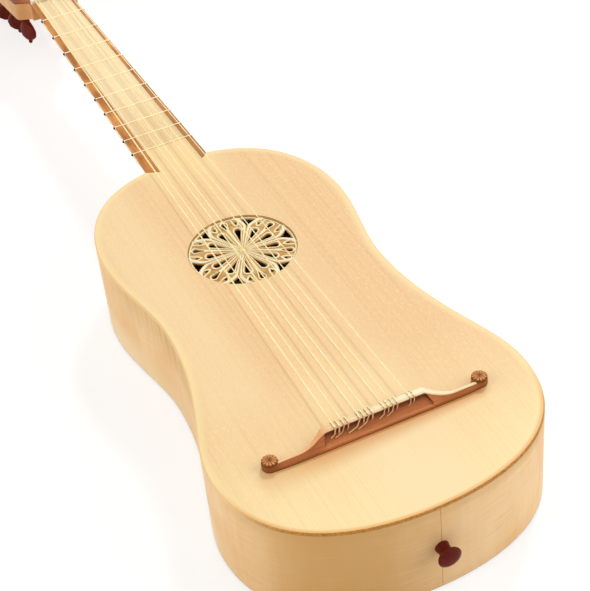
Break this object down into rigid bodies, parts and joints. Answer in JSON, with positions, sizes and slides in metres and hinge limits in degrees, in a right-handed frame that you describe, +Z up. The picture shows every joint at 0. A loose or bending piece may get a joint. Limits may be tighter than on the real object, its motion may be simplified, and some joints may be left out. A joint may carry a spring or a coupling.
{
  "type": "renaissance guitar",
  "caption": "Small waisted guitar with a flat back, pierced rose, tied gut frets, gut string courses tied to a low bridge, and rear friction pegs.",
  "frame": {"origin": "on the back's outer face, under the centre of the rose", "axes": "+Y towards the head, +Z up out of the soundboard, +X the treble side"},
  "size_m": [0.193, 0.7841, 0.0723],
  "materials": {
    "spruce": "thin oil varnish, fine straight grain",
    "flamed_maple": "oil varnish over flamed maple",
    "fruitwood": "waxed reddish fruitwood",
    "edge_wood": "waxed brown fruitwood",
    "pale_wood": "pale satin wood",
    "tracery": "gilt and pale layered tracery",
    "inner_wood": "bare spruce and willow",
    "gut": "translucent pale gut",
    "dark_wood": "polished dark red-brown plum wood",
    "bone": "smooth bone",
    "iron": "bare iron"
  },
  "bodies": {
    "guitar": {"soundboard": "spruce", "fingerboard": "spruce", "rib_bass": "flamed_maple", "rib_treble": "flamed_maple", "back": "flamed_maple", "neck": "flamed_maple", "head": "flamed_maple", "bridge": "fruitwood", "bridge_button_bass": "fruitwood", "bridge_button_treble": "fruitwood", "head_veneer": "fruitwood", "fingerboard_edge_bass": "edge_wood", "fingerboard_edge_treble": "edge_wood", "bridge_cap": "pale_wood", "rose": "tracery", "neck_block": "inner_wood", "tail_block": "inner_wood", "lining_top_bass": "inner_wood", "lining_top_treble": "inner_wood", "lining_back_bass": "inner_wood", "lining_back_treble": "inner_wood", "soundboard_bar_upper": "inner_wood", "soundboard_bar_lower": "inner_wood", "back_bar_upper": "inner_wood", "back_bar_middle": "inner_wood", "back_bar_lower": "inner_wood", "string_1": "gut", "string_2": "gut", "string_3": "gut", "string_4": "gut", "string_5": "gut", "string_6": "gut", "string_7": "gut", "end_pin": "dark_wood", "nut": "bone", "neck_nail": "iron"},
    "fret_01": {"fret_01": "gut"},
    "fret_02": {"fret_02": "gut"},
    "fret_03": {"fret_03": "gut"},
    "fret_04": {"fret_04": "gut"},
    "fret_05": {"fret_05": "gut"},
    "fret_06": {"fret_06": "gut"},
    "fret_07": {"fret_07": "gut"},
    "fret_08": {"fret_08": "gut"},
    "fret_09": {"fret_09": "gut"},
    "fret_10": {"fret_10": "gut"},
    "peg_1": {"peg_1": "dark_wood"},
    "peg_2": {"peg_2": "dark_wood"},
    "peg_3": {"peg_3": "dark_wood"},
    "peg_4": {"peg_4": "dark_wood"},
    "peg_5": {"peg_5": "dark_wood"},
    "peg_6": {"peg_6": "dark_wood"},
    "peg_7": {"peg_7": "dark_wood"}
  },
  "joints": [
    {"name": "peg_1_turn", "type": "hinge", "parent": "guitar", "child": "peg_1", "pos_m": [-0.018, 0.4068, 0.05743], "axis": [0, 0.1564, 0.9877], "continuous": true},
    {"name": "peg_2_turn", "type": "hinge", "parent": "guitar", "child": "peg_2", "pos_m": [-0.0185, 0.43643, 0.05274], "axis": [0, 0.1564, 0.9877], "continuous": true},
    {"name": "peg_3_turn", "type": "hinge", "parent": "guitar", "child": "peg_3", "pos_m": [-0.019, 0.46606, 0.04805], "axis": [0, 0.1564, 0.9877], "continuous": true},
    {"name": "peg_4_turn", "type": "hinge", "parent": "guitar", "child": "peg_4", "pos_m": [-0.0195, 0.49569, 0.04335], "axis": [0, 0.1564, 0.9877], "continuous": true},
    {"name": "peg_5_turn", "type": "hinge", "parent": "guitar", "child": "peg_5", "pos_m": [0.019, 0.48088, 0.0457], "axis": [0, 0.1564, 0.9877], "continuous": true},
    {"name": "peg_6_turn", "type": "hinge", "parent": "guitar", "child": "peg_6", "pos_m": [0.0185, 0.45125, 0.05039], "axis": [0, 0.1564, 0.9877], "continuous": true},
    {"name": "peg_7_turn", "type": "hinge", "parent": "guitar", "child": "peg_7", "pos_m": [0.018, 0.42162, 0.05509], "axis": [0, 0.1564, 0.9877], "continuous": true},
    {"name": "fret_01_slide", "type": "slide", "parent": "guitar", "child": "fret_01", "axis": [0, 1, 0], "range_m": [-0.003, 0.003]},
    {"name": "fret_02_slide", "type": "slide", "parent": "guitar", "child": "fret_02", "axis": [0, 1, 0], "range_m": [-0.003, 0.003]},
    {"name": "fret_03_slide", "type": "slide", "parent": "guitar", "child": "fret_03", "axis": [0, 1, 0], "range_m": [-0.003, 0.003]},
    {"name": "fret_04_slide", "type": "slide", "parent": "guitar", "child": "fret_04", "axis": [0, 1, 0], "range_m": [-0.003, 0.003]},
    {"name": "fret_05_slide", "type": "slide", "parent": "guitar", "child": "fret_05", "axis": [0, 1, 0], "range_m": [-0.003, 0.003]},
    {"name": "fret_06_slide", "type": "slide", "parent": "guitar", "child": "fret_06", "axis": [0, 1, 0], "range_m": [-0.003, 0.003]},
    {"name": "fret_07_slide", "type": "slide", "parent": "guitar", "child": "fret_07", "axis": [0, 1, 0], "range_m": [-0.003, 0.003]},
    {"name": "fret_08_slide", "type": "slide", "parent": "guitar", "child": "fret_08", "axis": [0, 1, 0], "range_m": [-0.003, 0.003]},
    {"name": "fret_09_slide", "type": "slide", "parent": "guitar", "child": "fret_09", "axis": [0, 1, 0], "range_m": [-0.003, 0.003]},
    {"name": "fret_10_slide", "type": "slide", "parent": "guitar", "child": "fret_10", "axis": [0, 1, 0], "range_m": [-0.003, 0.003]}
  ]
}
